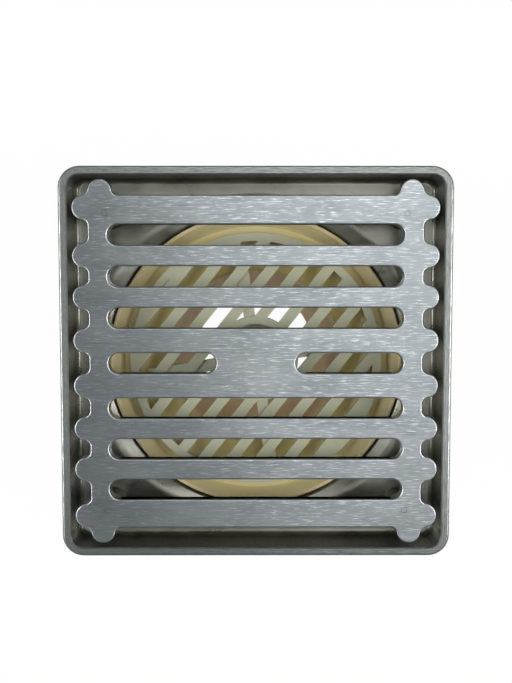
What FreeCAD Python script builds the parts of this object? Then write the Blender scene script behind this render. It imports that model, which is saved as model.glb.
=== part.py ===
"""Square stainless steel floor drain with a lift-out grate and a cream ABS strainer insert.

The object stands on the end of its outlet pipe. Every sub-part is drawn with its own zero at the
level of the rim's top face, so a depth is a negative height, and is lifted by total_height.
+Z is up, +X runs along the slots of the grate, and the origin is at the centre of the pipe's end.
Sizes are in millimetres and come from the spreadsheet named dims.
"""

import FreeCAD
import Part

import math
import os

import Sketcher
from FreeCAD import Placement, Rotation, Vector

doc = FreeCAD.newDocument("floor_drain")

# ---------------------------------------------------------------- driving dimensions

DIMENSIONS = [
    # overall
    ("total_height", 96.0, "rim top to the open end of the outlet pipe"),
    ("sheet_gauge", 1.0, "thickness of the stainless sheet"),
    # tray
    ("frame_side", 150.0, "outside of the square rim"),
    ("opening_side", 143.4, "inside of the square rim"),
    ("rim_drop", 6.0, "height of the folded rim"),
    ("rim_corner", 8.2, "outside corner radius of the rim"),
    ("rim_edge", 0.9, "rounding of the rim's outer top edge"),
    ("rim_bevel", 0.45, "ground bevel on the rim's inner top edge"),
    ("wall_corner", 4.8, "inside corner radius of the wall"),
    ("tray_depth", 18.0, "rim top to the tray floor"),
    ("floor_bend", 2.4, "inside bend radius between wall and floor"),
    ("dish_radius", 65.0, "radius where the floor starts to slope down to the neck"),
    ("dish_drop", 2.0, "how far it slopes down before it turns into the neck"),
    ("dish_bend", 8.0, "bend radius where that slope starts"),
    ("lip_radius", 59.4, "inside radius of the neck round the well"),
    ("lip_round", 1.2, "rounding where the slope turns down into the neck"),
    ("neck_bottom", 30.0, "depth of the neck's lower end"),
    # pressed supports under the feet of the grate
    ("foot_spacing_x", 115.0, "centre to centre of the feet along X"),
    ("foot_spacing_y", 114.4, "centre to centre of the feet along Y"),
    ("dimple_radius", 5.4, "radius of a pressed support at the floor"),
    ("dimple_rise", 2.6, "height of a pressed support"),
    ("dimple_slope", 38.0, "taper of its side, in degrees"),
    # well pot and outlet pipe
    ("pot_top", 21.9, "depth of the pot's top edge"),
    ("ledge_depth", 34.0, "depth of the ledge that carries the insert"),
    ("pot_lower_radius", 52.0, "inside radius below the ledge"),
    ("pot_cone_top", 53.0, "depth where the pot starts to narrow"),
    ("pot_cone_bottom", 64.0, "depth where it meets its collar"),
    ("pot_collar", 69.0, "depth of the collar's lower edge inside the pipe"),
    ("pot_bend", 1.6, "bend radius of the pot"),
    ("pipe_radius", 37.5, "outside radius of the outlet pipe"),
    ("pipe_bore", 36.3, "inside radius of the outlet pipe"),
    ("pipe_top", 64.8, "depth of the pipe's upper end"),
    ("pipe_bevel", 0.3, "bevel of the pipe's open end"),
    ("weld_gap", 0.1, "gap at a welded overlap"),
    # rubber seal under the insert
    ("seal_inner", 54.4, "inside radius of the flat seal"),
    ("seal_outer", 58.0, "outside radius of the flat seal"),
    ("seal_thickness", 2.0, "thickness of the flat seal"),
    # funnel insert
    ("funnel_radius", 58.8, "outside radius of the funnel's skirt"),
    ("funnel_top", 19.4, "depth of the funnel's top edge"),
    ("funnel_edge", 1.3, "width of the flat top edge"),
    ("cone_radius", 53.4, "radius at the foot of the collar's cone"),
    ("seat_depth", 25.2, "depth of the seat that carries the strainer"),
    ("funnel_wall", 2.0, "wall of the moulding"),
    ("seat_inner_radius", 45.6, "radius where the seat turns into the bowl"),
    ("throat_radius", 36.0, "inside radius where the bowl turns down into the outlet tube"),
    ("throat_depth", 31.0, "depth of that turn"),
    ("tube_end_radius", 26.6, "inside radius at the lower end of the outlet tube"),
    ("tube_end_depth", 92.0, "depth of that end"),
    ("funnel_ribs", 8, "number of webs between skirt and bowl"),
    ("rest_gap", 0.1, "gap between pieces that only rest on each other"),
    # strainer
    ("strainer_radius", 50.5, "outside radius of the strainer"),
    ("strainer_top", 19.8, "depth of the strainer's top face"),
    ("strainer_ring", 3.2, "width of its outer ring and of its skirt"),
    ("strainer_plate", 2.6, "thickness of ring and slats"),
    ("slat_pitch", 9.0, "centre to centre of the slats"),
    ("slat_width", 4.2, "width of a slat"),
    ("slat_angle", 42.6, "slats to cross ribs, in degrees"),
    ("strainer_turn", 8.5, "how far the insert is turned in the tray, in degrees"),
    ("rib_width", 4.6, "width of the cross ribs under the slats"),
    ("rib_drop", 3.0, "height of the cross ribs"),
    ("hub_radius", 17.1, "outside radius of the hub"),
    ("hub_height", 7.0, "height of the hub"),
    ("hub_recess", 14.1, "radius of the finger recess"),
    ("hub_floor", 1.8, "thickness of the recess floor"),
    # grate
    ("grate_drop", 1.0, "depth of the grate's top face"),
    ("grate_thickness", 5.0, "thickness of the grate"),
    ("grate_body", 128.3, "side of the grate between its lobes"),
    ("grate_span", 140.4, "side of the grate over its lobes"),
    ("lobe_radius", 4.75, "radius of a lobe"),
    ("corner_lobe", 59.4, "offset of the outermost lobes from the centre"),
    ("lobe_root", 2.4, "fillet at the root of a lobe"),
    ("corner_root", 3.2, "fillet between the two lobes of a corner"),
    ("slot_length", 113.0, "length of a slot, end to end"),
    ("slot_width", 7.8, "width of a slot"),
    ("slot_pitch", 15.85, "centre to centre of the slots"),
    ("middle_pitch", 17.4, "middle slots to the first slots beside them"),
    ("bridge_width", 30.6, "width of the plate between the two middle slots"),
    ("grate_edge", 0.7, "rounding of the grate's top edges"),
    ("grate_back_edge", 0.3, "bevel of the grate's lower edges"),
    ("tenon_hole", 2.0, "side of a square hole for a foot's tenon"),
    # feet of the grate
    ("foot_radius", 4.0, "radius of a foot"),
    ("foot_edge", 1.2, "rounding of a foot's lower edge"),
    ("tenon_side", 1.8, "side of a foot's square tenon"),
]

SLOTS_PER_SIDE = 3

dims = doc.addObject("Spreadsheet::Sheet", "dims")
for row, (alias, size, meaning) in enumerate(DIMENSIONS, start=1):
    dims.set(f"A{row}", f"'{meaning}")
    dims.set(f"B{row}", str(size))
    dims.setAlias(f"B{row}", alias)
doc.recompute()


# ---------------------------------------------------------------- drawing helpers


def size_of(text):
    """The value of an expression over the spreadsheet's aliases, such as 'dims.frame_side / 2'."""
    return float(dims.evalExpression(text))


def new_body(label):
    """An empty body whose zero is at the rim's top face."""
    body = doc.addObject("PartDesign::Body", label)
    body.Label = label
    body.setExpression("Placement.Base.z", "dims.total_height")
    return body


def new_sketch(body, name, plane="XY_Plane", level=None):
    """A sketch on one of the body's own origin planes, or at a height above XY."""
    sketch = body.newObject("Sketcher::SketchObject", name)
    support = next(f for f in body.Origin.OriginFeatures if f.Role == plane)
    sketch.AttachmentSupport = [(support, "")]
    sketch.MapMode = "FlatFace"
    if level:
        sketch.setExpression("AttachmentOffset.Base.z", level)
    return sketch


def bind(sketch, kind, where, text):
    """Adds a dimension whose value follows the spreadsheet."""
    index = sketch.addConstraint(Sketcher.Constraint(kind, *where, size_of(text)))
    sketch.setExpression(f"Constraints[{index}]", text)


def place_point(sketch, geometry, point, x, y):
    """Ties a point of a sketch to the place (x, y), both expressions."""
    bind(sketch, "DistanceX", (-1, 1, geometry, point), x)
    bind(sketch, "DistanceY", (-1, 1, geometry, point), y)


def draw_circle(sketch, radius, x="0", y="0"):
    centre = Vector(size_of(x), size_of(y), 0)
    index = sketch.addGeometry(Part.Circle(centre, Vector(0, 0, 1), size_of(radius)))
    bind(sketch, "Radius", (index,), radius)
    place_point(sketch, index, 3, x, y)


def draw_polygon(sketch, corners):
    """A closed outline through corners, each an (x, y) pair of expressions."""
    points = [Vector(size_of(x), size_of(y), 0) for x, y in corners]
    lines = []
    for start, end in zip(points, points[1:] + points[:1]):
        lines.append(sketch.addGeometry(Part.LineSegment(start, end)))
    for line, following in zip(lines, lines[1:] + lines[:1]):
        sketch.addConstraint(Sketcher.Constraint("Coincident", line, 2, following, 1))
    for line, (x, y) in zip(lines, corners):
        place_point(sketch, line, 1, x, y)


def draw_square(sketch, side, x="0", y="0"):
    low_x, high_x = f"{x} - {side} / 2", f"{x} + {side} / 2"
    low_y, high_y = f"{y} - {side} / 2", f"{y} + {side} / 2"
    draw_polygon(sketch, [(low_x, low_y), (high_x, low_y), (high_x, high_y), (low_x, high_y)])


def draw_rounded_square(sketch, side, corner):
    """A centred square with round corners; side and corner are expressions."""
    reach = size_of(f"{side} / 2")
    round_off = size_of(corner)
    core = reach - round_off
    up = Vector(0, 0, 1)
    quarter = math.pi / 2
    arcs, lines = [], []
    for step, (sign_x, sign_y) in enumerate([(1, 1), (-1, 1), (-1, -1), (1, -1)]):
        circle = Part.Circle(Vector(sign_x * core, sign_y * core, 0), up, round_off)
        arcs.append(sketch.addGeometry(Part.ArcOfCircle(circle, step * quarter, (step + 1) * quarter)))
        along = Vector(math.cos((step + 1) * quarter), math.sin((step + 1) * quarter), 0)
        ahead = Vector(-along.y, along.x, 0)
        start, end = along * reach - ahead * core, along * reach + ahead * core
        lines.append(sketch.addGeometry(Part.LineSegment(start, end)))
    for index in range(4):
        following = arcs[(index + 1) % 4]
        sketch.addConstraint(Sketcher.Constraint("Tangent", arcs[index], 2, lines[index], 1))
        sketch.addConstraint(Sketcher.Constraint("Tangent", lines[index], 2, following, 1))
    bind(sketch, "Radius", (arcs[0],), corner)
    for arc in arcs[1:]:
        sketch.addConstraint(Sketcher.Constraint("Equal", arcs[0], arc))
    for arc, (sign_x, sign_y) in zip(arcs, [(1, 1), (-1, 1), (-1, -1), (1, -1)]):
        away = f"({side} / 2 - {corner})"
        place_point(sketch, arc, 3, f"{sign_x} * {away}", f"{sign_y} * {away}")


def draw_obround(sketch, start, end, radius):
    """A slot shape whose two end centres are (x, y) pairs of expressions along X or along Y."""
    a = Vector(size_of(start[0]), size_of(start[1]), 0)
    b = Vector(size_of(end[0]), size_of(end[1]), 0)
    turn = math.atan2(b.y - a.y, b.x - a.x)
    reach = size_of(radius)
    side = Vector(-math.sin(turn), math.cos(turn), 0) * reach
    up = Vector(0, 0, 1)
    half = math.pi / 2
    cap_a = sketch.addGeometry(
        Part.ArcOfCircle(Part.Circle(a, up, reach), turn + half, turn + 3 * half)
    )
    low = sketch.addGeometry(Part.LineSegment(a - side, b - side))
    cap_b = sketch.addGeometry(
        Part.ArcOfCircle(Part.Circle(b, up, reach), turn - half, turn + half)
    )
    high = sketch.addGeometry(Part.LineSegment(b + side, a + side))
    joints = [(cap_a, 2, low, 1), (low, 2, cap_b, 1), (cap_b, 2, high, 1), (high, 2, cap_a, 1)]
    for joint in joints:
        sketch.addConstraint(Sketcher.Constraint("Tangent", *joint))
    bind(sketch, "Radius", (cap_a,), radius)
    place_point(sketch, cap_a, 3, *start)
    place_point(sketch, cap_b, 3, *end)


def extrude(body, kind, name, sketch, length, downward=False, taper=None):
    """Adds a Pad or a Pocket. downward is the direction along -Z for either of them."""
    feature = body.newObject(f"PartDesign::{kind}", name)
    feature.Profile = sketch
    feature.setExpression("Length", length)
    feature.Reversed = downward if kind == "Pad" else not downward
    if taper:
        feature.setExpression("TaperAngle", taper)
    doc.recompute()
    return feature


def revolve(body, name, sketch):
    feature = body.newObject("PartDesign::Revolution", name)
    feature.Profile = sketch
    feature.ReferenceAxis = (sketch, ["V_Axis"])
    feature.Angle = 360.0
    doc.recompute()
    return feature


def edges_where(feature, test):
    """The names of the feature's edges whose middle point and edge pass the test."""
    names = []
    for index, edge in enumerate(feature.Shape.Edges, start=1):
        middle = edge.valueAt((edge.FirstParameter + edge.LastParameter) / 2)
        if test(middle, edge):
            names.append(f"Edge{index}")
    if not names:
        raise ValueError(f"no edge of {feature.Label} fits")
    return names


def is_upright(edge):
    low, high = edge.BoundBox.ZMin, edge.BoundBox.ZMax
    return len(edge.Vertexes) == 2 and edge.Length - (high - low) < 1e-6


def soften(body, kind, name, base, parts, size):
    """Adds a Fillet or a Chamfer of the given size on edges or faces of the feature base."""
    feature = body.newObject(f"PartDesign::{kind}", name)
    feature.Base = (base, parts)
    feature.setExpression("Radius" if kind == "Fillet" else "Size", size)
    doc.recompute()
    return feature


def near(value, target, reach=1e-3):
    return abs(value - target) < reach


def ring_test(radius, level):
    """A test for edges_where: circles round Z with the given radius and height, both expressions."""
    target, height = size_of(radius), size_of(level)

    def is_ring(middle, edge):
        same = near(getattr(edge.Curve, "Radius", 0), target, 0.01)
        return same and near(middle.z, height, 0.01)

    return is_ring


def flat_face_at(feature, height):
    """The name of the largest horizontal face at the given height."""
    found = []
    for index, face in enumerate(feature.Shape.Faces, start=1):
        box = face.BoundBox
        if near(box.ZMin, height) and near(box.ZMax, height):
            found.append((face.Area, f"Face{index}"))
    return max(found)[1]


# ---------------------------------------------------------------- tray


def make_tray():
    """One pressed sheet: folded rim, upright walls, flat floor, and a rounded lip into a neck."""
    body = new_body("tray")
    gauge = "dims.sheet_gauge"
    square = new_sketch(body, "rim_outline")
    draw_rounded_square(square, "dims.frame_side", "dims.rim_corner")
    extrude(body, "Pad", "rim", square, "dims.rim_drop", downward=True)

    # the channel under the folded rim
    channel = new_sketch(body, "rim_channel_outline", level="-dims.rim_drop")
    draw_rounded_square(channel, f"(dims.frame_side - 2 * {gauge})", f"(dims.rim_corner - {gauge})")
    extrude(body, "Pocket", "rim_channel", channel, f"dims.rim_drop - {gauge}")

    # the pan hangs from the rim
    outside = new_sketch(body, "pan_outline")
    pan_side = f"(dims.opening_side + 2 * {gauge})"
    draw_rounded_square(outside, pan_side, f"(dims.wall_corner + {gauge})")
    pan = extrude(body, "Pad", "pan", outside, f"dims.tray_depth + {gauge}", downward=True)
    below = -size_of(f"dims.tray_depth + {gauge}")
    foot = edges_where(pan, lambda middle, edge: near(middle.z, below))
    soften(body, "Fillet", "pan_bend", pan, foot, f"dims.floor_bend + {gauge}")

    # the basin
    inside = new_sketch(body, "basin_outline")
    draw_rounded_square(inside, "dims.opening_side", "dims.wall_corner")
    basin = extrude(body, "Pocket", "basin", inside, "dims.tray_depth", downward=True)
    half = size_of("dims.opening_side / 2")
    floor = -size_of("dims.tray_depth")
    bend = edges_where(basin, lambda middle, edge: near(middle.z, floor))
    soften(body, "Fillet", "basin_bend", basin, bend, "dims.floor_bend")

    # the floor slopes down to the neck round the well
    hole = new_sketch(body, "dish_hole_outline", level="-dims.tray_depth")
    draw_circle(hole, "dims.dish_radius")
    extrude(body, "Pocket", "dish_hole", hole, gauge, downward=True)
    section = new_sketch(body, "dish_section", plane="XZ_Plane")
    turn = "-dims.tray_depth - dims.dish_drop"
    draw_polygon(
        section,
        [
            ("dims.dish_radius", "-dims.tray_depth"),
            ("dims.lip_radius", turn),
            ("dims.lip_radius", "-dims.neck_bottom"),
            (f"dims.lip_radius + {gauge}", "-dims.neck_bottom"),
            (f"dims.lip_radius + {gauge}", f"{turn} - {gauge} * 0.7"),
            ("dims.dish_radius", f"-dims.tray_depth - {gauge}"),
        ],
    )
    dish = revolve(body, "dish", section)
    lip = edges_where(dish, ring_test("dims.lip_radius", turn))
    dish = soften(body, "Fillet", "lip", dish, lip, "dims.lip_round")
    start = edges_where(dish, ring_test("dims.dish_radius", "-dims.tray_depth"))
    soften(body, "Fillet", "dish_start", dish, start, "dims.dish_bend")

    # pressed supports: raised above the floor and hollow below it
    raised = new_sketch(body, "support_outline", level="-dims.tray_depth")
    sunk = new_sketch(body, "support_hollow_outline", level="-dims.tray_depth - dims.sheet_gauge")
    for side_x in (-1, 1):
        for side_y in (-1, 1):
            x = f"{side_x} * dims.foot_spacing_x / 2"
            y = f"{side_y} * dims.foot_spacing_y / 2"
            draw_circle(raised, "dims.dimple_radius", x, y)
            draw_circle(sunk, "dims.dimple_radius - 0.8 * dims.sheet_gauge", x, y)
    slope = "-dims.dimple_slope"
    bumps = extrude(body, "Pad", "supports", raised, "dims.dimple_rise", taper=slope)
    top = size_of("dims.dimple_rise - dims.tray_depth")
    rounded = edges_where(bumps, lambda middle, edge: near(middle.z, top))
    bumps = soften(body, "Fillet", "support_tops", bumps, rounded, "dims.dimple_rise / 3")
    bumps = extrude(body, "Pocket", "support_hollows", sunk, "dims.dimple_rise", taper=slope)

    # the rim's top edges
    top_edges = edges_where(
        bumps,
        lambda middle, edge: near(middle.z, 0) and max(abs(middle.x), abs(middle.y)) > half + 1,
    )
    top_edge = soften(body, "Fillet", "rim_outer_edge", bumps, top_edges, "dims.rim_edge")
    inner_edges = edges_where(
        top_edge,
        lambda middle, edge: near(middle.z, 0) and max(abs(middle.x), abs(middle.y)) < half + 0.1,
    )
    soften(body, "Chamfer", "rim_inner_edge", top_edge, inner_edges, "dims.rim_bevel")
    return body


# ---------------------------------------------------------------- pot, pipe and seal


def make_well_pot():
    """A drawn pot welded round the tray's neck: a ledge, a cone, and a collar inside the pipe."""
    body = new_body("well_pot")
    profile = new_sketch(body, "pot_section", plane="XZ_Plane")
    wall = "dims.sheet_gauge"
    upper = f"(dims.lip_radius + {wall} + dims.weld_gap)"
    collar = "(dims.pipe_bore - dims.weld_gap)"
    draw_polygon(
        profile,
        [
            (upper, "-dims.pot_top"),
            (upper, "-dims.ledge_depth"),
            ("dims.pot_lower_radius", "-dims.ledge_depth"),
            ("dims.pot_lower_radius", "-dims.pot_cone_top"),
            (f"{collar} - {wall}", "-dims.pot_cone_bottom"),
            (f"{collar} - {wall}", "-dims.pot_collar"),
            (collar, "-dims.pot_collar"),
            (collar, f"-dims.pot_cone_bottom - {wall} * 0.6"),
            (f"dims.pot_lower_radius + {wall}", f"-dims.pot_cone_top - {wall} * 0.6"),
            (f"dims.pot_lower_radius + {wall}", f"-dims.ledge_depth - {wall}"),
            (f"{upper} + {wall}", f"-dims.ledge_depth - {wall}"),
            (f"{upper} + {wall}", "-dims.pot_top"),
        ],
    )
    pot = revolve(body, "pot", profile)
    turns = [
        ring_test(f"{upper} + {wall}", f"-dims.ledge_depth - {wall}"),
        ring_test("dims.pot_lower_radius", "-dims.ledge_depth"),
        ring_test(f"dims.pot_lower_radius + {wall}", f"-dims.pot_cone_top - {wall} * 0.6"),
    ]
    bends = edges_where(pot, lambda middle, edge: any(turn(middle, edge) for turn in turns))
    soften(body, "Fillet", "pot_bends", pot, bends, "dims.pot_bend")
    return body


def make_outlet_pipe():
    """A straight tube welded over the pot's collar. It pushes into the drain pipe in the floor."""
    body = new_body("outlet_pipe")
    ring = new_sketch(body, "pipe_section", level="-dims.total_height")
    draw_circle(ring, "dims.pipe_radius")
    draw_circle(ring, "dims.pipe_bore")
    tube = extrude(body, "Pad", "tube", ring, "dims.total_height - dims.pipe_top")
    bottom = -size_of("dims.total_height")
    ends = edges_where(tube, lambda middle, edge: near(middle.z, bottom))
    soften(body, "Chamfer", "end_bevel", tube, ends, "dims.pipe_bevel")
    return body


def make_seal():
    """A flat rubber ring on the pot's ledge. The funnel's skirt stands on it."""
    body = new_body("ledge_seal")
    ring = new_sketch(body, "seal_section", level="-dims.ledge_depth")
    draw_circle(ring, "dims.seal_outer")
    draw_circle(ring, "dims.seal_inner")
    seal = extrude(body, "Pad", "seal", ring, "dims.seal_thickness")
    top = size_of("dims.seal_thickness - dims.ledge_depth")
    rims = edges_where(seal, lambda middle, edge: near(middle.z, top))
    soften(body, "Fillet", "seal_rims", seal, rims, "dims.seal_thickness / 4")
    return body


# ---------------------------------------------------------------- funnel insert


def make_funnel():
    """A moulded insert: a collar whose cone leads to a seat, a shallow bowl and a tapered tube."""
    body = new_body("funnel")
    profile = new_sketch(body, "funnel_section", plane="XZ_Plane")
    wall = "dims.funnel_wall"
    skirt_foot = "-dims.ledge_depth + dims.seal_thickness + dims.rest_gap"
    draw_polygon(
        profile,
        [
            ("dims.funnel_radius", "-dims.funnel_top"),
            ("dims.funnel_radius - dims.funnel_edge", "-dims.funnel_top"),
            ("dims.cone_radius", "-dims.seat_depth"),
            ("dims.seat_inner_radius", "-dims.seat_depth"),
            ("dims.throat_radius", "-dims.throat_depth"),
            ("dims.tube_end_radius", "-dims.tube_end_depth"),
            (f"dims.tube_end_radius + {wall}", "-dims.tube_end_depth"),
            (f"dims.throat_radius + {wall}", f"-dims.throat_depth - {wall}"),
            (f"dims.seat_inner_radius - {wall} * 0.3", f"-dims.seat_depth - {wall}"),
            (f"dims.funnel_radius - {wall}", f"-dims.seat_depth - {wall}"),
            (f"dims.funnel_radius - {wall}", skirt_foot),
            ("dims.funnel_radius", skirt_foot),
        ],
    )
    bowl = revolve(body, "bowl", profile)

    throat = edges_where(bowl, ring_test("dims.throat_radius", "-dims.throat_depth"))
    bowl = soften(body, "Fillet", "throat_bend", bowl, throat, "dims.funnel_wall")
    top = -size_of("dims.funnel_top")
    rims = edges_where(bowl, lambda m, e: near(m.z, top))
    bowl = soften(body, "Fillet", "collar_rims", bowl, rims, "dims.funnel_edge * 0.35")

    # webs under the seat, between the skirt and the bowl
    web = new_sketch(body, "web_outline", plane="XZ_Plane")
    inner_x = f"(dims.throat_radius + {wall} * 1.5)"
    outer_x = f"dims.funnel_radius - {wall} / 2"
    web_top = f"-dims.seat_depth - {wall} / 2"
    web_foot = "-dims.ledge_depth + dims.seal_thickness + 6 * dims.rest_gap"
    bowl_slope = "(dims.throat_depth - dims.seat_depth) / (dims.seat_inner_radius - dims.throat_radius)"
    inner_top = f"{web_top} - (dims.seat_inner_radius - {inner_x}) * {bowl_slope}"
    draw_polygon(
        web,
        [
            (inner_x, inner_top),
            ("dims.seat_inner_radius", web_top),
            (outer_x, web_top),
            (outer_x, web_foot),
            (inner_x, web_foot),
        ],
    )
    webs = body.newObject("PartDesign::Pad", "web")
    webs.Profile = web
    webs.setExpression("Length", "dims.funnel_wall * 0.8")
    webs.Midplane = True
    doc.recompute()
    pattern = body.newObject("PartDesign::PolarPattern", "webs")
    pattern.Originals = [webs]
    axis = next(f for f in body.Origin.OriginFeatures if f.Role == "Z_Axis")
    pattern.Axis = (axis, [""])
    pattern.Angle = 360.0
    pattern.setExpression("Occurrences", "dims.funnel_ribs")
    body.Tip = pattern
    doc.recompute()
    return body


# ---------------------------------------------------------------- strainer


def solid(kind, name, **sizes):
    """A Part primitive whose sizes are expressions."""
    piece = doc.addObject(f"Part::{kind}", name)
    for prop, text in sizes.items():
        piece.setExpression(prop.replace("_", "."), text)
    return piece


def disc(name, radius, low, height):
    """A cylinder on the Z axis from the level low upwards."""
    piece = solid("Cylinder", name, Radius=radius, Height=height)
    piece.setExpression("Placement.Base.z", low)
    return piece


def bar(name, width, offset, angle, low, height):
    """A bar across the strainer, beside its centre by offset and turned by angle, in degrees."""
    piece = solid("Box", name, Length="2 * dims.strainer_radius", Width=width, Height=height)
    piece.Placement.Rotation.Axis = Vector(0, 0, 1)
    piece.setExpression("Placement.Rotation.Angle", angle)
    back, side = "dims.strainer_radius", f"({offset} - {width} / 2)"
    cosine, sine = f"cos({angle} * 1 deg)", f"sin({angle} * 1 deg)"
    piece.setExpression("Placement.Base.x", f"-{back} * {cosine} - {side} * {sine}")
    piece.setExpression("Placement.Base.y", f"{side} * {cosine} - {back} * {sine}")
    piece.setExpression("Placement.Base.z", low)
    return piece


def combine(kind, name, *pieces):
    """Fuse or Common of many pieces, or Cut of the second from the first."""
    result = doc.addObject(f"Part::{kind}", name)
    if kind == "Cut":
        result.Base, result.Tool = pieces
    else:
        result.Shapes = list(pieces)
    result.Refine = True
    return result


def make_strainer():
    """A moulded cap: a ring with a skirt, straight slats, two cross ribs and a dished hub."""
    under = "-dims.strainer_top - dims.strainer_plate"
    window_radius = "dims.strainer_radius - dims.strainer_ring"
    plate = disc("strainer_disc", "dims.strainer_radius", under, "dims.strainer_plate")

    # the gaps between the slats, kept inside the ring and clear of the hub
    gap = "(dims.slat_pitch - dims.slat_width)"
    depth = "dims.strainer_plate"
    per_side = math.ceil(size_of(f"({window_radius}) / dims.slat_pitch"))
    gaps = []
    for index in range(-per_side, per_side):
        offset = f"{index + 0.5} * dims.slat_pitch"
        gaps.append(bar(f"gap_{index + per_side}", gap, offset, "dims.slat_angle", under, depth))
    gap_bars = combine("MultiFuse", "gap_bars", *gaps)
    field = disc("window_field", window_radius, under, depth)
    core = disc("hub_keepout", "dims.hub_radius", under, depth)
    field_ring = combine("Cut", "window_ring", field, core)
    windows = combine("MultiCommon", "windows", gap_bars, field_ring)
    grid = combine("Cut", "slatted_disc", plate, windows)

    # the skirt that stands on the funnel's seat
    skirt_foot = "-dims.seat_depth + dims.rest_gap"
    skirt_height = "dims.seat_depth - dims.rest_gap - dims.strainer_top - dims.strainer_plate / 2"
    skirt_outer = disc("skirt_outer", "dims.strainer_radius", skirt_foot, skirt_height)
    skirt_inner = disc("skirt_inner", window_radius, skirt_foot, skirt_height)
    skirt = combine("Cut", "skirt", skirt_outer, skirt_inner)

    # the cross ribs below the slats
    rib_low = f"{under} - dims.rib_drop"
    rib_height = "dims.rib_drop + dims.strainer_plate / 2"
    ribs = [
        bar("rib_across", "dims.rib_width", "0", "0", rib_low, rib_height),
        bar("rib_along", "dims.rib_width", "0", "90", rib_low, rib_height),
    ]
    cross = combine("MultiFuse", "cross", *ribs)
    rib_reach = "dims.seat_inner_radius - dims.funnel_wall"
    rib_field = disc("rib_field", rib_reach, rib_low, rib_height)
    cross_in_ring = combine("MultiCommon", "cross_in_ring", cross, rib_field)

    # the hub with its finger recess
    hub_low = "-dims.strainer_top - dims.hub_height"
    hub = disc("hub_block", "dims.hub_radius", hub_low, "dims.hub_height")
    recess_low = f"{hub_low} + dims.hub_floor"
    recess = disc("hub_recess_cut", "dims.hub_recess", recess_low, "dims.hub_height")
    solids = combine("MultiFuse", "strainer_parts", grid, skirt, cross_in_ring, hub)
    whole = combine("Cut", "strainer", solids, recess)
    whole.Label = "strainer"
    whole.Placement.Rotation.Axis = Vector(0, 0, 1)
    whole.setExpression("Placement.Rotation.Angle", "dims.strainer_turn")
    whole.setExpression("Placement.Base.z", "dims.total_height")
    doc.recompute()
    return whole


# ---------------------------------------------------------------- grate


def bar_levels():
    """Heights of the bar centres above the grate's middle, as expressions, from the inside out."""
    levels = ["dims.middle_pitch / 2"]
    for step in range(1, SLOTS_PER_SIDE):
        levels.append(f"dims.middle_pitch + {step - 0.5} * dims.slot_pitch")
    levels.append("dims.corner_lobe")
    return levels


def make_grate():
    """A thick plate with lobed edges and full-round slots. Its lobes keep it clear of the wall."""
    body = new_body("grate_plate")
    level = "-dims.grate_drop"
    reach = "dims.grate_span / 2 - dims.lobe_radius"

    square = new_sketch(body, "plate_outline", level=level)
    draw_square(square, "dims.grate_body")
    extrude(body, "Pad", "plate", square, "dims.grate_thickness", downward=True)

    side_lobes = new_sketch(body, "side_lobe_outline", level=level)
    for y in bar_levels():
        for sign in ("", "-"):
            height = f"{sign}({y})"
            draw_obround(side_lobes, (f"-({reach})", height), (reach, height), "dims.lobe_radius")
    extrude(body, "Pad", "side_lobes", side_lobes, "dims.grate_thickness", downward=True)

    end_lobes = new_sketch(body, "end_lobe_outline", level=level)
    for sign in ("", "-"):
        x = f"{sign}dims.corner_lobe"
        draw_obround(end_lobes, (x, f"-({reach})"), (x, reach), "dims.lobe_radius")
    plate = extrude(body, "Pad", "end_lobes", end_lobes, "dims.grate_thickness", downward=True)

    half = size_of("dims.grate_body / 2")
    tip = size_of("dims.corner_lobe - dims.lobe_radius")

    def in_a_corner(middle, edge):
        return is_upright(edge) and near(abs(middle.x), half, 0.1) and near(abs(middle.y), half, 0.1)

    def at_a_root(middle, edge):
        on_side = near(abs(middle.x), half, 0.1) and abs(middle.y) < half - 1
        on_end = near(abs(middle.y), half, 0.1) and near(abs(middle.x), tip, 0.1)
        return is_upright(edge) and (on_side or on_end)

    corners = edges_where(plate, in_a_corner)
    plate = soften(body, "Fillet", "corner_roots", plate, corners, "dims.corner_root")
    roots = edges_where(plate, at_a_root)
    soften(body, "Fillet", "lobe_roots", plate, roots, "dims.lobe_root")

    slots = new_sketch(body, "slot_outline", level=level)
    half_width = "dims.slot_width / 2"
    far = f"dims.slot_length / 2 - {half_width}"
    near_x = f"dims.bridge_width / 2 + {half_width}"
    for index in range(SLOTS_PER_SIDE):
        for sign in ("", "-"):
            y = f"{sign}(dims.middle_pitch + {index} * dims.slot_pitch)"
            draw_obround(slots, (f"-({far})", y), (far, y), half_width)
    draw_obround(slots, (f"-({far})", "0"), (f"-({near_x})", "0"), half_width)
    draw_obround(slots, (near_x, "0"), (far, "0"), half_width)
    plate = extrude(body, "Pocket", "slots", slots, "dims.grate_thickness", downward=True)

    top = -size_of("dims.grate_drop")
    bottom = top - size_of("dims.grate_thickness")
    upper = [flat_face_at(plate, top)]
    plate = soften(body, "Fillet", "top_edges", plate, upper, "dims.grate_edge")
    lower = [flat_face_at(plate, bottom)]
    soften(body, "Chamfer", "lower_edges", plate, lower, "dims.grate_back_edge")

    holes = new_sketch(body, "tenon_hole_outline", level=level)
    for side_x in (-1, 1):
        for side_y in (-1, 1):
            x = f"{side_x} * dims.foot_spacing_x / 2"
            y = f"{side_y} * dims.foot_spacing_y / 2"
            draw_square(holes, "dims.tenon_hole", x, y)
    extrude(body, "Pocket", "tenon_holes", holes, "dims.grate_thickness", downward=True)
    return body


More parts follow.
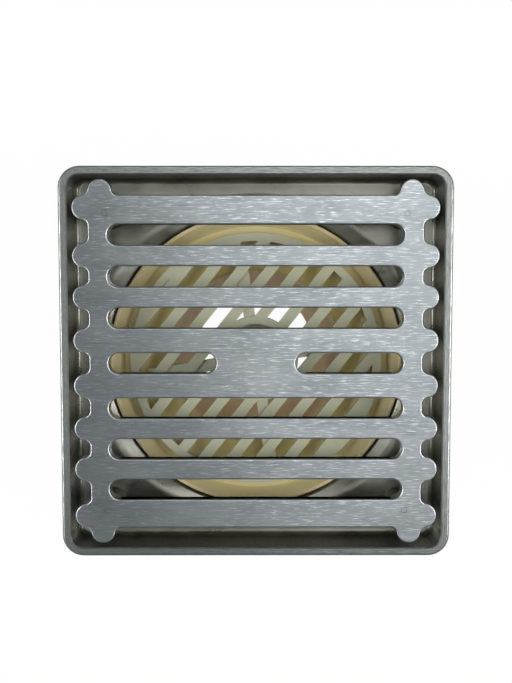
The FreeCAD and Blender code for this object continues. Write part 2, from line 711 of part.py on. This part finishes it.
def make_foot(label, side_x, side_y):
    """A round stud under a corner of the grate. Its square tenon is set flush in the plate."""
    body = new_body(label)
    body.setExpression("Placement.Base.x", f"{side_x} * dims.foot_spacing_x / 2")
    body.setExpression("Placement.Base.y", f"{side_y} * dims.foot_spacing_y / 2")
    plate_back = "dims.grate_drop + dims.grate_thickness"
    foot_end = "dims.tray_depth - dims.dimple_rise - dims.rest_gap"
    shank = new_sketch(body, f"{label}_shank", level=f"-({foot_end})")
    draw_circle(shank, "dims.foot_radius")
    stud = extrude(body, "Pad", f"{label}_stud", shank, f"{foot_end} - ({plate_back})")
    low = -size_of(foot_end)
    edge = edges_where(stud, lambda middle, e: near(middle.z, low))
    soften(body, "Fillet", f"{label}_nose", stud, edge, "dims.foot_edge")
    square = new_sketch(body, f"{label}_tenon_outline", level=f"-({plate_back})")
    draw_square(square, "dims.tenon_side")
    extrude(body, "Pad", f"{label}_tenon", square, "dims.grate_thickness - dims.rest_gap / 2")
    return body


# ---------------------------------------------------------------- build and write

parts = [
    make_tray(),
    make_well_pot(),
    make_outlet_pipe(),
    make_seal(),
    make_funnel(),
    make_strainer(),
    make_grate(),
]
FEET = {
    "grate_foot_front_left": (-1, -1),
    "grate_foot_front_right": (1, -1),
    "grate_foot_back_left": (-1, 1),
    "grate_foot_back_right": (1, 1),
}
for foot_label, (foot_x, foot_y) in FEET.items():
    parts.append(make_foot(foot_label, foot_x, foot_y))
doc.recompute()

failed = [o.Label for o in doc.Objects if "Invalid" in o.State or "Error" in o.State]
if failed:
    raise RuntimeError(f"these objects failed: {failed}")

os.makedirs("parts", exist_ok=True)
for part in parts:
    shape = part.Shape
    if shape.isNull() or not shape.isValid() or not shape.Solids:
        raise RuntimeError(f"{part.Label} has no valid solid")
    shape.exportStep(os.path.join("parts", f"{part.Label}.step"))
    box = shape.BoundBox
    print(
        f"{part.Label}: {len(shape.Solids)} solid, {shape.Volume / 1000:.2f} cm3, "
        f"x {box.XMin:.1f}..{box.XMax:.1f}, y {box.YMin:.1f}..{box.YMax:.1f}, "
        f"z {box.ZMin:.1f}..{box.ZMax:.1f}"
    )
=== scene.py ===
"""Finishes and stage for a square stainless floor drain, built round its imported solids."""

import functools
import math

import bmesh
import bpy
from bpy.props import FloatProperty, FloatVectorProperty, PointerProperty
from bpy.types import Operator, Panel, PropertyGroup
from mathutils import Matrix, Vector


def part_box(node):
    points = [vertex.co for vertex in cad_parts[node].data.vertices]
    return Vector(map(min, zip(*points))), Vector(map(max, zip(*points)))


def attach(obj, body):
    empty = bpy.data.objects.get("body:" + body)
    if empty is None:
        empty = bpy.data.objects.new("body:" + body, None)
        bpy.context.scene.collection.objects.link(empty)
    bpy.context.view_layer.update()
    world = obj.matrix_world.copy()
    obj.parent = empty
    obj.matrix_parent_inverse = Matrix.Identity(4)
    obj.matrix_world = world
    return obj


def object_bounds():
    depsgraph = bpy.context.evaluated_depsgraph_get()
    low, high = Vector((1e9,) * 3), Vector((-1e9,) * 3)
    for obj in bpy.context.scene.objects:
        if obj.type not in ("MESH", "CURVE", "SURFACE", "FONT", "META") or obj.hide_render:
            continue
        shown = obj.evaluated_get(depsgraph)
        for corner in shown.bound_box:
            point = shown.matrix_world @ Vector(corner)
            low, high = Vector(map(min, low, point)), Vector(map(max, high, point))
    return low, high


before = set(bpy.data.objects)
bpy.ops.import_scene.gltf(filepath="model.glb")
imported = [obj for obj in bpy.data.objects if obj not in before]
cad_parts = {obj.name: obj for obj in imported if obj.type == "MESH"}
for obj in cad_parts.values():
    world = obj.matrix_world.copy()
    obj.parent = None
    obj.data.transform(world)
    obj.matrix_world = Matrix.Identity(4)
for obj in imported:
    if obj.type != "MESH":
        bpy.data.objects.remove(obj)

bl_info = {
    "name": "Square floor drain",
    "version": (1, 0, 0),
    "blender": (4, 5, 0),
    "location": "3D View > Sidebar > Floor Drain",
    "description": "Finishes a square floor drain with a lift-out grate and sets its stage",
    "category": "Object",
}

MM = 0.001
CAD_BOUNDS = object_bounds()
RIM_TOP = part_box("tray")[1].z

LOW, HIGH = 0.3, 0.7        # most of a noise lies between these two
ROUND_LIGHT = 0.26          # strength of the light that comes from all round, from world and floor


# ---------------------------------------------------------------- node and colour helpers


def linear(hex_colour):
    """An sRGB colour such as "D3CBA6" as linear RGBA."""
    channels = [int(hex_colour[i : i + 2], 16) / 255 for i in (0, 2, 4)]
    return (
        *(c / 12.92 if c <= 0.04045 else ((c + 0.055) / 1.055) ** 2.4 for c in channels),
        1.0,
    )


def add_node(tree, kind, *values, inputs=None, **attributes):
    """Adds one node, with its settings and links.

    values fill the inputs that the attributes leave in use, in order, and inputs fills some by
    name. A socket is linked, a node is linked by its first output in use, and a value is set.
    """
    node = tree.nodes.new(f"ShaderNode{kind}")
    for name, value in attributes.items():
        setattr(node, name, value)
    filled = list(zip((socket for socket in node.inputs if socket.enabled), values))
    filled += [(node.inputs[name], value) for name, value in (inputs or {}).items()]
    for socket, value in filled:
        if isinstance(value, bpy.types.Node):
            value = next(output for output in value.outputs if output.enabled)
        if isinstance(value, bpy.types.NodeSocket):
            tree.links.new(value, socket)
        else:
            socket.default_value = value
    return node


def new_material(name):
    """An empty node material, and the function that adds a node to it."""
    material = bpy.data.materials.new(name)
    material.use_nodes = True
    material.node_tree.nodes.clear()
    return material, functools.partial(add_node, material.node_tree)


def stretched_noise(add, place, size_mm, detail=2.0, seed=0.0):
    """Noise whose grain is size_mm = (x, y, z) millimetres.

    seed moves it, so that it doesn't match the other noises of its material.
    """
    scaled = add("Mapping", inputs={
        "Vector": place,
        "Location": (seed, seed * 1.7, seed * 0.3),
        "Scale": tuple(1 / (size * MM) for size in size_mm),
    })
    return add("TexNoise", inputs={"Vector": scaled, "Scale": 1.0, "Detail": detail, "Roughness": 0.55})


def tone_between(add, driver, start, end, first, last):
    """A colour that goes from first to last as driver goes from start to end."""
    return add("Mix", add("MapRange", driver, start, end), first, last, data_type="RGBA")


# ---------------------------------------------------------------- materials


def linished_stainless(settings):
    """Stainless plate, belt-linished along the slots, then tumbled so that its edges are smooth.

    The belt leaves short bright flecks and dull scratches along X on the flat faces. Slot walls
    and rounded edges are smoother and catch a clear line of light.
    """
    material, add = new_material("linished stainless steel")
    coords = add("TexCoord").outputs
    place, normal = coords["Object"], coords["Normal"]
    length, width = settings.fleck_length / MM, settings.fleck_width / MM
    flecks = stretched_noise(add, place, (length, width, width), 3.0)
    scratches = stretched_noise(add, place, (length * 4, width * 0.7, width), 2.0, 4.0)
    handling = stretched_noise(add, place, (26.0, 14.0, 14.0), 3.0, 9.0)
    up = add("SeparateXYZ", normal).outputs["Z"]
    flat = add("MapRange", add("Math", up, operation="ABSOLUTE"), 0.9, 0.99)

    tone = tone_between(add, handling, LOW, HIGH, linear("9CA3A6"), linear("B6BCBF"))
    for marks, start, end, colour in (
        (flecks, 0.54, 0.7, "E9EDF0"),
        (scratches, 0.58, 0.75, "8E9497"),
    ):
        share = add("Math", add("MapRange", marks, start, end), flat, operation="MULTIPLY")
        tone = add("Mix", share, tone, linear(colour), data_type="RGBA")
    mean = settings.roughness
    belt = add("MapRange", flecks, LOW, HIGH, mean + 0.08, mean - 0.06)
    height = add("Math", add("Mix", 0.35, flecks, scratches), flat, operation="MULTIPLY")
    shader = add("BsdfPrincipled", inputs={
        "Base Color": tone,
        "Metallic": 1.0,
        "Roughness": add("Mix", flat, 0.34, belt),
        "Anisotropic": 0.82,
        "Tangent": add("CombineXYZ", 0.0, 1.0, 0.0),
        "Normal": add("Bump", inputs={"Height": height, "Distance": settings.fleck_depth}),
    })
    add("OutputMaterial", shader)
    return material


def pressed_stainless(settings):
    """Stainless sheet pressed into the tray. Its rim is satin ground, and the pan is as it was rolled.

    The rim shows fine grinding along each side, the walls show the draw marks that run down them,
    and the floor is smoother, with faint smears.
    """
    material, add = new_material("pressed stainless sheet")
    coords = add("TexCoord").outputs
    place, normal = coords["Object"], coords["Normal"]
    x, y, z = add("SeparateXYZ", place).outputs
    up = add("SeparateXYZ", normal).outputs["Z"]
    at_top = add("MapRange", z, RIM_TOP - 1.2 * MM, RIM_TOP - 0.6 * MM)
    on_rim = add("Math", at_top, add("MapRange", up, 0.3, 0.7), operation="MULTIPLY")
    upright = add("MapRange", add("Math", up, operation="ABSOLUTE"), 0.25, 0.6, 1.0, 0.0)
    across, along = (add("Math", value, operation="ABSOLUTE") for value in (x, y))
    at_side = add("Math", across, along, operation="GREATER_THAN")

    ground_x = stretched_noise(add, place, (5.0, 0.35, 2.0), 3.0)
    ground_y = stretched_noise(add, place, (0.35, 5.0, 2.0), 3.0, 3.0)
    ground = add("Mix", at_side, ground_x, ground_y)
    drawn = stretched_noise(add, place, (0.7, 0.7, 14.0), 3.0, 5.0)
    smears = stretched_noise(add, place, (16.0, 9.0, 9.0), 4.0, 7.0)
    grain = stretched_noise(add, place, (0.5, 0.5, 0.5), 2.0, 2.0)

    pan, mean = settings.pan_roughness, settings.roughness
    pan_rough = add("MapRange", smears, LOW, HIGH, pan - 0.05, pan + 0.08)
    wall_rough = add("MapRange", drawn, LOW, HIGH, 0.26, 0.5)
    rim_rough = add("MapRange", ground, LOW, HIGH, mean + 0.07, mean - 0.07)
    rough = add("Mix", on_rim, add("Mix", upright, pan_rough, wall_rough), rim_rough)

    tone = tone_between(add, smears, 0.35, 0.65, linear("88877E"), linear("A1A197"))
    streaks = add("Math", upright, drawn, operation="MULTIPLY")
    tone = add("Mix", streaks, tone, linear("949693"), data_type="RGBA")
    rim_tone = tone_between(add, ground, 0.35, 0.68, linear("727673"), linear("A4A8A6"))
    height = add("Mix", on_rim, add("Mix", upright, grain, drawn), ground)
    shader = add("BsdfPrincipled", inputs={
        "Base Color": add("Mix", on_rim, tone, rim_tone, data_type="RGBA"),
        "Metallic": 1.0,
        "Roughness": rough,
        "Normal": add("Bump", inputs={"Height": height, "Distance": settings.grind_depth}),
    })
    add("OutputMaterial", shader)
    return material


def spun_stainless(settings):
    """Stainless drawn and trimmed on a lathe, for the pot and the pipe, with fine rings round them."""
    material, add = new_material("spun stainless steel")
    place = add("TexCoord").outputs["Object"]
    x, y, z = add("SeparateXYZ", place).outputs
    x_squared, y_squared = (add("Math", value, value, operation="MULTIPLY") for value in (x, y))
    radius = add("Math", add("Math", x_squared, y_squared, operation="ADD"), operation="SQRT")
    rings = stretched_noise(add, add("CombineXYZ", radius, z, 0.0), (0.5, 0.5, 1.0), 3.0, 1.0)
    patches = stretched_noise(add, place, (18.0, 18.0, 12.0), 4.0, 6.0)
    pan = settings.pan_roughness
    shader = add("BsdfPrincipled", inputs={
        "Base Color": tone_between(add, patches, LOW, HIGH, linear("ADAFAD"), linear("BDBFBD")),
        "Metallic": 1.0,
        "Roughness": add("MapRange", rings, LOW, HIGH, pan, pan + 0.16),
        "Normal": add("Bump", inputs={"Height": rings, "Distance": settings.grind_depth}),
    })
    add("OutputMaterial", shader)
    return material


def weld_metal():
    """A brushed TIG weld: straw and blue heat colours over the bead."""
    material, add = new_material("brushed weld bead")
    place = add("TexCoord").outputs["Object"]
    heat = stretched_noise(add, place, (5.0, 5.0, 1.2), 3.0, 8.0)
    scale = stretched_noise(add, place, (0.4, 0.4, 0.4))
    shader = add("BsdfPrincipled", inputs={
        "Base Color": tone_between(add, heat, 0.35, 0.62, linear("A79C86"), linear("8B8E93")),
        "Metallic": 1.0,
        "Roughness": add("MapRange", heat, LOW, HIGH, 0.3, 0.5),
        "Normal": add("Bump", inputs={"Height": scale, "Distance": 0.03 * MM}),
    })
    add("OutputMaterial", shader)
    return material


def moulded_abs(name, fresh, painted_depth_layers):
    """ABS injection moulded in a fine spark-eroded tool, a little yellowed by use.

    It gives a soft sheen with slightly uneven colour. Each layer is (colour, start, end): below the
    height start the tone changes, and from the height end down it is that colour. The layers are
    painted light and shade, set by depth below the top.
    """
    material, add = new_material(name)
    place = add("TexCoord").outputs["Object"]
    z = add("SeparateXYZ", place).outputs["Z"]
    clouds = stretched_noise(add, place, (22.0, 22.0, 16.0), 4.0, 3.0)
    specks = stretched_noise(add, place, (1.6, 1.6, 1.6), 3.0, 5.0)
    texture = stretched_noise(add, place, (0.3, 0.3, 0.3), 2.0, 1.0)
    yellowed = add("MapRange", clouds, 0.35, 0.75, 0.0, 0.3)
    tone = add("Mix", yellowed, fresh, painted_depth_layers[-1][0], data_type="RGBA")
    # painted light and shade: each layer sets the tone by height below the piece's top
    for colour, start, end in painted_depth_layers:
        tone = tone_between(add, z, start, end, tone, colour)
    speckled = add("MapRange", specks, 0.62, 0.8, 0.0, 0.25)
    stain = add("Math", speckled, add("MapRange", clouds, 0.4, 0.6), operation="MULTIPLY")
    shader = add("BsdfPrincipled", inputs={
        "Base Color": add("Mix", stain, tone, linear("A58F62"), data_type="RGBA"),
        "Roughness": add("MapRange", clouds, LOW, HIGH, 0.5, 0.64),
        "IOR": 1.54,
        "Specular IOR Level": 0.35,
        "Subsurface Weight": 0.3,
        "Subsurface Radius": (1.0, 0.75, 0.4),
        "Subsurface Scale": 2.5 * MM,
        "Normal": add("Bump", inputs={"Height": texture, "Distance": 0.008 * MM}),
    })
    add("OutputMaterial", shader)
    return material


def seal_rubber():
    """Black EPDM, moulded and dusty, so its sheen is broad and grey."""
    material, add = new_material("moulded EPDM rubber")
    place = add("TexCoord").outputs["Object"]
    dust = stretched_noise(add, place, (6.0, 6.0, 3.0), 4.0, 2.0)
    grain = stretched_noise(add, place, (0.4, 0.4, 0.4))
    shader = add("BsdfPrincipled", inputs={
        "Base Color": tone_between(add, dust, 0.4, 0.7, linear("1B1B1B"), linear("2E2D2B")),
        "Roughness": add("MapRange", dust, LOW, HIGH, 0.55, 0.8),
        "IOR": 1.52,
        "Normal": add("Bump", inputs={"Height": grain, "Distance": 0.02 * MM}),
    })
    add("OutputMaterial", shader)
    return material


# ---------------------------------------------------------------- pieces


def give(node_name, material):
    """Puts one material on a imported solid, in place of those it has."""
    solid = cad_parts[node_name]
    solid.data.materials.clear()
    solid.data.materials.append(material)


def ring_mesh(name, radius, height, bead, ripples):
    """A weld bead: a ring of overlapping ripples round the Z axis. bead is half its thickness."""
    steps_per_ripple, section = 6, 10
    hollow = 0.18        # the share by which the bead thins between two ripples
    mesh = bpy.data.meshes.new(name)
    shape = bmesh.new()
    around = ripples * steps_per_ripple
    loops = []
    for step in range(around):
        turn = 2 * math.pi * step / around
        phase = (step % steps_per_ripple) / steps_per_ripple
        size = bead * (1 - hollow + hollow * math.sin(math.pi * phase))
        loop = []
        for corner in range(section):
            angle = 2 * math.pi * corner / section
            out = radius + size * math.cos(angle)
            up = height + size * math.sin(angle)
            loop.append(shape.verts.new((out * math.cos(turn), out * math.sin(turn), up)))
        loops.append(loop)
    for step, loop in enumerate(loops):
        following = loops[(step + 1) % around]
        for corner in range(section):
            beside = (corner + 1) % section
            shape.faces.new((loop[corner], following[corner], following[beside], loop[beside]))
    bmesh.ops.recalc_face_normals(shape, faces=shape.faces)
    shape.to_mesh(mesh)
    shape.free()
    mesh.shade_smooth()
    piece = bpy.data.objects.new(name, mesh)
    bpy.context.scene.collection.objects.link(piece)
    return piece


def lay_weld(name, edge, inset, bead, ripples, metal):
    """Lays a weld bead on a piece's top edge, inset from its outer face. edge is its box's far corner."""
    rise = 0.3 * MM        # the middle of the bead above the edge
    ring = ring_mesh(name, edge.x - inset, edge.z + rise, bead, ripples)
    ring.data.materials.append(metal)
    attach(ring, "drain_body")


# ---------------------------------------------------------------- settings


class DrainSteelSettings(PropertyGroup):
    """Sizes and finish of the stainless pieces."""

    fleck_length: FloatProperty(
        name="Fleck length",
        description="Length of a belt mark on the grate",
        default=4.5 * MM,
        unit="LENGTH",
    )
    fleck_width: FloatProperty(
        name="Fleck width",
        description="Width of a belt mark, drawn coarser than the real 0.1 mm so that it shows",
        default=0.42 * MM,
        unit="LENGTH",
    )
    fleck_depth: FloatProperty(
        name="Fleck depth", description="Depth of a belt mark", default=0.03 * MM, unit="LENGTH"
    )
    grind_depth: FloatProperty(
        name="Grinding depth",
        description="Depth of the marks on rim, walls and pot",
        default=0.02 * MM,
        unit="LENGTH",
    )
    roughness: FloatProperty(
        name="Ground roughness",
        description="Mean roughness of the ground faces",
        default=0.32,
        min=0,
        max=1,
    )
    pan_roughness: FloatProperty(
        name="Pan roughness",
        description="Mean roughness of the pressed pan",
        default=0.3,
        min=0,
        max=1,
    )


class DrainPlasticSettings(PropertyGroup):
    """Colours of the moulded insert, with painted light in the funnel's bowl and painted shade in its tube
    and under the strainer.
    """

    # the collar keeps the funnel's base cream; the bowl and tube below it are painted light and shade
    funnel_collar: FloatVectorProperty(
        name="Funnel collar",
        description="Cream ABS of the funnel, dulled by wear at its collar",
        subtype="COLOR",
        size=3,
        default=linear("D0C59B")[:3],
    )
    # painted light: the bowl is coloured brighter to stand in for light that the strainer's shade keeps out
    funnel_bowl_painted_light: FloatVectorProperty(
        name="Funnel bowl",
        description="The same ABS, clean and yellow in the bowl",
        subtype="COLOR",
        size=3,
        default=linear("F7E8A8")[:3],
    )
    # painted shade: the tube is coloured browner to stand in for the shade deep in the tube
    funnel_tube_painted_shade: FloatVectorProperty(
        name="Funnel tube",
        description="The same ABS, stained in the tube",
        subtype="COLOR",
        size=3,
        default=linear("DABC78")[:3],
    )
    strainer_top: FloatVectorProperty(
        name="Strainer",
        description="Paler ABS of the strainer",
        subtype="COLOR",
        size=3,
        default=linear("BDBFA7")[:3],
    )
    # painted shade: the strainer's underside and ribs are coloured yellower to stand in for the warm shade
    # under the slats
    strainer_below_painted_shade: FloatVectorProperty(
        name="Aged strainer",
        description="The same ABS where it has yellowed",
        subtype="COLOR",
        size=3,
        default=linear("C2BC94")[:3],
    )


class DrainStageSettings(PropertyGroup):
    """The floor and the camera."""

    floor_colour: FloatVectorProperty(
        name="Floor",
        description="Colour of the plain floor",
        subtype="COLOR",
        size=3,
        default=linear("F2F2F0")[:3],
    )
    floor_side: FloatProperty(
        name="Floor side", description="Side of the square floor", default=6.0, unit="LENGTH"
    )
    camera_height: FloatProperty(
        name="Camera height", description="Camera above the rim", default=361.2 * MM, unit="LENGTH"
    )
    camera_side: FloatProperty(
        name="Camera shift", description="Camera beside the centre along X", default=-1.3 * MM, unit="LENGTH"
    )
    camera_back: FloatProperty(
        name="Camera offset", description="Camera beyond the centre along Y", default=35.3 * MM, unit="LENGTH"
    )
    aim_back: FloatProperty(
        name="Aim offset", description="Aim point beyond the centre along Y", default=8.5 * MM, unit="LENGTH"
    )
    lens: FloatProperty(name="Lens", description="Focal length in millimetres", default=50.0)


# ---------------------------------------------------------------- operators


class DRAIN_OT_finish_grate(Operator):
    """Gives the grate plate and its four feet their linished finish"""

    bl_idname = "drain.finish_grate"
    bl_label = "Finish grate"

    def execute(self, context):
        steel = linished_stainless(context.scene.drain_steel)
        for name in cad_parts:
            if name.startswith("grate_"):
                give(name, steel)
        return {"FINISHED"}


class DRAIN_OT_finish_tray(Operator):
    """Gives the tray its ground rim and its pressed pan"""

    bl_idname = "drain.finish_tray"
    bl_label = "Finish tray"

    def execute(self, context):
        give("tray", pressed_stainless(context.scene.drain_steel))
        return {"FINISHED"}


class DRAIN_OT_finish_outlet(Operator):
    """Gives pot and pipe a spun finish and welds them together"""

    bl_idname = "drain.finish_outlet"
    bl_label = "Finish outlet"

    def execute(self, context):
        steel = spun_stainless(context.scene.drain_steel)
        give("well_pot", steel)
        give("outlet_pipe", steel)
        weld = weld_metal()
        lay_weld("pipe_weld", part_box("outlet_pipe")[1], 0.4 * MM, 0.9 * MM, 90, weld)
        lay_weld("neck_weld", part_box("well_pot")[1], 0.9 * MM, 0.8 * MM, 150, weld)
        return {"FINISHED"}


class DRAIN_OT_finish_insert(Operator):
    """Gives funnel and strainer their cream plastic, with painted light in the bowl and painted shade deeper
    down
    """

    bl_idname = "drain.finish_insert"
    bl_label = "Finish insert"

    def execute(self, context):
        tones = context.scene.drain_plastic
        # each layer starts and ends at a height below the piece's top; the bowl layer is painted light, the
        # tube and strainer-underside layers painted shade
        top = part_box("funnel")[1].z
        bowl = ((*tones.funnel_bowl_painted_light, 1.0), top - 4 * MM, top - 9 * MM)
        tube = ((*tones.funnel_tube_painted_shade, 1.0), top - 12 * MM, top - 24 * MM)
        give("funnel", moulded_abs("moulded ABS, funnel", (*tones.funnel_collar, 1.0), (bowl, tube)))
        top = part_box("strainer")[1].z
        below = ((*tones.strainer_below_painted_shade, 1.0), top - 4 * MM, top - 12 * MM)
        give("strainer", moulded_abs("moulded ABS, strainer", (*tones.strainer_top, 1.0), (below,)))
        return {"FINISHED"}


class DRAIN_OT_finish_seal(Operator):
    """Gives the flat seal its rubber"""

    bl_idname = "drain.finish_seal"
    bl_label = "Finish seal"

    def execute(self, context):
        give("ledge_seal", seal_rubber())
        return {"FINISHED"}


def put_on_stage(name, data, place, aim, turn=0.0):
    """Puts a lamp or camera at place. It points at aim, +Y is upwards in its view, turn is in degrees."""
    back = (Vector(place) - Vector(aim)).normalized()
    right = Vector((0, 1, 0)).cross(back).normalized()
    facing = Matrix((right, back.cross(right), back)).transposed()
    holder = bpy.data.objects.new(name, data)
    holder.location = place
    holder.rotation_mode = "QUATERNION"
    holder.rotation_quaternion = (facing @ Matrix.Rotation(math.radians(turn), 3, "Z")).to_quaternion()
    bpy.context.scene.collection.objects.link(holder)
    return holder


def area_lamp(name, place, aim, size, watts, turn=0.0):
    """A rectangular soft lamp. size is (width, height)."""
    lamp = bpy.data.lights.new(name, "AREA")
    lamp.shape = "RECTANGLE"
    lamp.size, lamp.size_y = size
    lamp.energy = watts
    put_on_stage(name, lamp, place, aim, turn)


class DRAIN_OT_set_stage(Operator):
    """Makes the pale floor, the soft lamps, the world and the camera"""

    bl_idname = "drain.set_stage"
    bl_label = "Set stage"

    def execute(self, context):
        scene = context.scene
        settings = scene.drain_stage
        self.make_floor(scene, settings)
        self.make_world(scene)
        self.make_lamps()
        self.make_camera(scene, settings)
        scene.view_settings.view_transform = "Standard"
        return {"FINISHED"}

    def make_floor(self, scene, settings):
        mesh = bpy.data.meshes.new("floor")
        half = settings.floor_side / 2
        corners = [(-half, -half, 0), (half, -half, 0), (half, half, 0), (-half, half, 0)]
        mesh.from_pydata(corners, [], [(0, 1, 2, 3)])
        floor = bpy.data.objects.new("floor", mesh)
        floor.location.z = CAD_BOUNDS[0].z
        scene.collection.objects.link(floor)

        material, add = new_material("painted studio floor")
        grain = stretched_noise(add, add("TexCoord").outputs["Object"], (40.0, 40.0, 40.0))
        colour = (*settings.floor_colour, 1.0)
        shade = (*(channel * 0.97 for channel in settings.floor_colour), 1.0)
        lit = add("BsdfDiffuse", add("Mix", grain, colour, shade, data_type="RGBA"))
        white = add("Emission", (1, 1, 1, 1), 1.0)
        # nearly white to the eye and in reflections, and a weak glow for every other ray
        path = add("LightPath").outputs
        mirrored = add("Math", path["Is Glossy Ray"], path["Is Transmission Ray"], operation="MAXIMUM")
        seen = add("Math", path["Is Camera Ray"], mirrored, operation="MAXIMUM")
        nearly = add("Math", seen, 0.965, operation="MULTIPLY")
        share = add("Math", nearly, ROUND_LIGHT, operation="MAXIMUM")
        top = add("MixShader", share, lit, white)
        # seen from below the floor is clear, so that the underside of the drain can be looked at
        below = add("NewGeometry").outputs["Backfacing"]
        add("OutputMaterial", add("MixShader", below, top, add("BsdfTransparent")))
        floor.data.materials.append(material)

    def make_world(self, scene):
        world = bpy.data.worlds.new("soft studio")
        scene.world = world
        world.use_nodes = True
        world.node_tree.nodes.clear()
        add = functools.partial(add_node, world.node_tree)
        soft = add("Background", linear("E6E9EA"), ROUND_LIGHT)
        white = add("Background", (1, 1, 1, 1), 0.97)
        seen = add("LightPath").outputs["Is Camera Ray"]
        add("OutputWorld", add("MixShader", seen, soft, white))

    def make_lamps(self):
        rim = Vector((0, 0, RIM_TOP))
        above = rim + Vector((0.19, 0.1, 0.75))
        area_lamp("overhead_softbox", above, above - Vector((0, 0, 1)), (0.5, 0.75), 0.98, turn=15)
        # offset from the middle of the rim, size in metres and watts, all three pointing at the rim
        for name, offset, size, watts in (
            ("left_softbox", (-0.6, -0.05, 0.6), (0.4, 0.4), 4.2),
            ("right_softbox", (0.6, -0.05, 0.6), (0.4, 0.4), 4.4),
            ("back_softbox", (0.1, 0.42, 0.8), (0.6, 0.35), 1.2),
        ):
            area_lamp(name, rim + Vector(offset), rim, size, watts)

    def make_camera(self, scene, settings):
        data = bpy.data.cameras.new("camera")
        data.lens = settings.lens
        data.sensor_width = 36.0
        data.clip_start = 0.01
        height = RIM_TOP + settings.camera_height
        place = Vector((settings.camera_side, settings.camera_back, height))
        aim = Vector((0, settings.aim_back, RIM_TOP))
        scene.camera = put_on_stage("camera", data, place, aim)


class DRAIN_PT_sidebar(Panel):
    """Lists the steps in the order in which they run"""

    bl_label = "Floor Drain"
    bl_idname = "DRAIN_PT_sidebar"
    bl_space_type = "VIEW_3D"
    bl_region_type = "UI"
    bl_category = "Floor Drain"

    def draw(self, context):
        for group_name in SETTINGS:
            group = getattr(context.scene, group_name)
            box = self.layout.box()
            for name in group.bl_rna.properties.keys():
                if name not in {"rna_type", "name"}:
                    box.prop(group, name)
        for step in STEPS:
            self.layout.operator(step.bl_idname)


STEPS = (
    DRAIN_OT_finish_grate,
    DRAIN_OT_finish_tray,
    DRAIN_OT_finish_outlet,
    DRAIN_OT_finish_insert,
    DRAIN_OT_finish_seal,
    DRAIN_OT_set_stage,
)
SETTINGS = {
    "drain_steel": DrainSteelSettings,
    "drain_plastic": DrainPlasticSettings,
    "drain_stage": DrainStageSettings,
}
CLASSES = (*SETTINGS.values(), *STEPS, DRAIN_PT_sidebar)


def register():
    for cls in CLASSES:
        bpy.utils.register_class(cls)
    for name, cls in SETTINGS.items():
        setattr(bpy.types.Scene, name, PointerProperty(type=cls))


def unregister():
    for name in SETTINGS:
        delattr(bpy.types.Scene, name)
    for cls in reversed(CLASSES):
        bpy.utils.unregister_class(cls)


def main():
    register()
    for step in STEPS:
        group, call = step.bl_idname.split(".")
        getattr(getattr(bpy.ops, group), call)()


if __name__ == "__main__":
    main()
